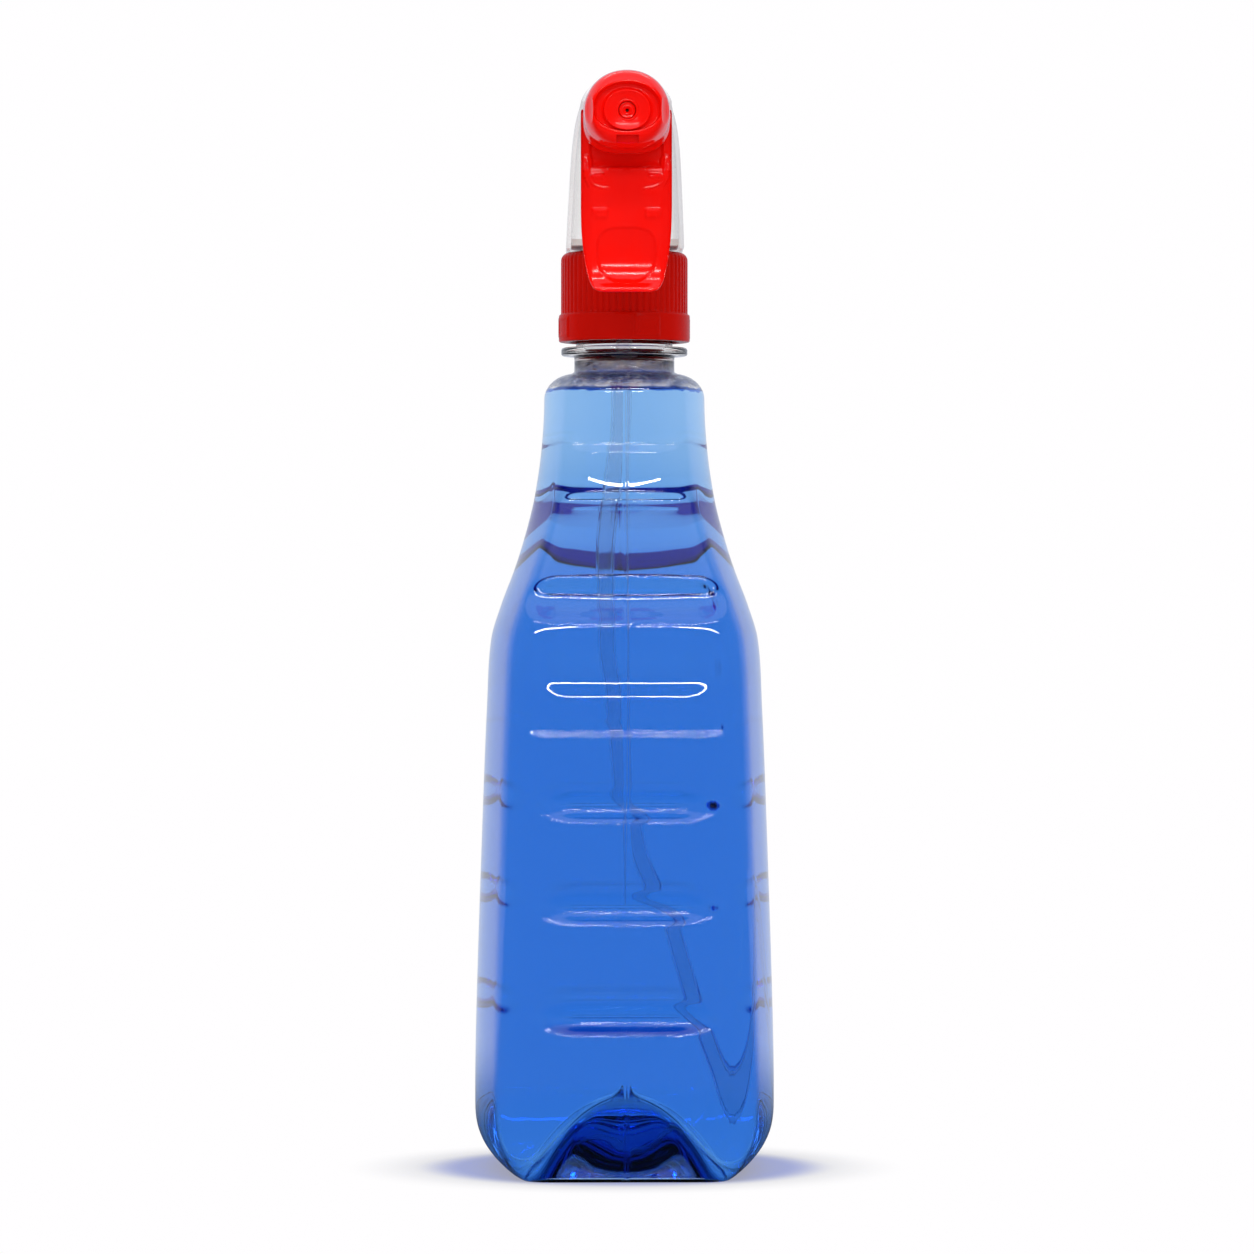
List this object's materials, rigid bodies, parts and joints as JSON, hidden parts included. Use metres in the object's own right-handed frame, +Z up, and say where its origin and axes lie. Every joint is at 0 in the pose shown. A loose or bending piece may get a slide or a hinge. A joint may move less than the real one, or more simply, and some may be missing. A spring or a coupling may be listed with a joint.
{
  "type": "glass cleaner trigger spray bottle",
  "caption": "Clear blown bottle of blue glass cleaner with red trigger sprayer, screw closure, clear shroud and turning nozzle cap.",
  "frame": {"origin": "centre of the standing ring under the base, on the neck's axis", "axes": "+Z up along the neck, the nozzle points to -Y and +X is to the right of someone who faces the nozzle"},
  "size_m": [0.0782, 0.109, 0.2828],
  "materials": {
    "clear_bottle": "clear blown plastic, glossy",
    "blue_liquid": "clear blue watery liquid",
    "closure_red": "moulded plastic, satin gloss, deep red",
    "trigger_red": "moulded plastic, glossy, bright red",
    "natural_plastic": "undyed milky moulded plastic",
    "tube_plastic": "see-through extruded tube",
    "clear_shroud": "clear moulded plastic, glossy",
    "pale_seal": "pale foamed sealing ring",
    "dark_seal": "dark rubber",
    "spring_steel": "bright stainless wire",
    "ball_steel": "polished stainless ball"
  },
  "bodies": {
    "bottle": {"bottle": "clear_bottle", "cleaning_liquid": "blue_liquid"},
    "sprayer": {"pump_body": "natural_plastic", "shroud": "clear_shroud", "tube_holder": "natural_plastic", "dip_tube": "tube_plastic", "neck_gasket": "pale_seal", "return_spring": "spring_steel", "outlet_spring": "spring_steel", "spinner": "natural_plastic", "nozzle_seal": "dark_seal"},
    "closure": {"screw_closure": "closure_red"},
    "trigger": {"trigger": "trigger_red"},
    "piston": {"piston": "natural_plastic", "piston_seal": "dark_seal"},
    "nozzle": {"nozzle_cap": "trigger_red", "orifice_insert": "trigger_red"},
    "inlet_ball": {"inlet_ball": "ball_steel"},
    "outlet_valve": {"outlet_valve": "natural_plastic"}
  },
  "joints": [
    {"name": "head_lift", "type": "slide", "parent": "bottle", "child": "sprayer", "axis": [0, 0, 1], "range_m": [0, 0.00635]},
    {"name": "closure_turn", "type": "hinge", "parent": "sprayer", "child": "closure", "pos_m": [0, 0, 0.2276], "axis": [0, 0, 1], "range_deg": [0, 540]},
    {"name": "trigger_squeeze", "type": "hinge", "parent": "sprayer", "child": "trigger", "pos_m": [0, -0.037, 0.2685], "axis": [1, 0, 0], "range_deg": [0, 20], "stiffness_Nm_per_rad": 0.5, "springref_deg": -20.05},
    {"name": "piston_slide", "type": "slide", "parent": "sprayer", "child": "piston", "axis": [0, 1, 0], "range_m": [0, 0.00515], "deforming": ["return_spring"]},
    {"name": "nozzle_turn", "type": "hinge", "parent": "sprayer", "child": "nozzle", "pos_m": [0, -0.05, 0.2715], "axis": [0, 1, 0], "continuous": true},
    {"name": "inlet_ball_lift", "type": "slide", "parent": "sprayer", "child": "inlet_ball", "axis": [0, 0, 1], "range_m": [0, 0.0012]},
    {"name": "outlet_valve_open", "type": "slide", "parent": "sprayer", "child": "outlet_valve", "axis": [0, -1, 0], "range_m": [0, 0.0008], "stiffness_N_per_m": 120, "springref_m": -0.001, "deforming": ["outlet_spring"]}
  ],
  "couplings": [
    {"joint": "closure_turn", "follows": "head_lift", "rad_per_m": 1484.3},
    {"joint": "trigger_squeeze", "follows": "piston_slide", "rad_per_m": 67.843}
  ]
}
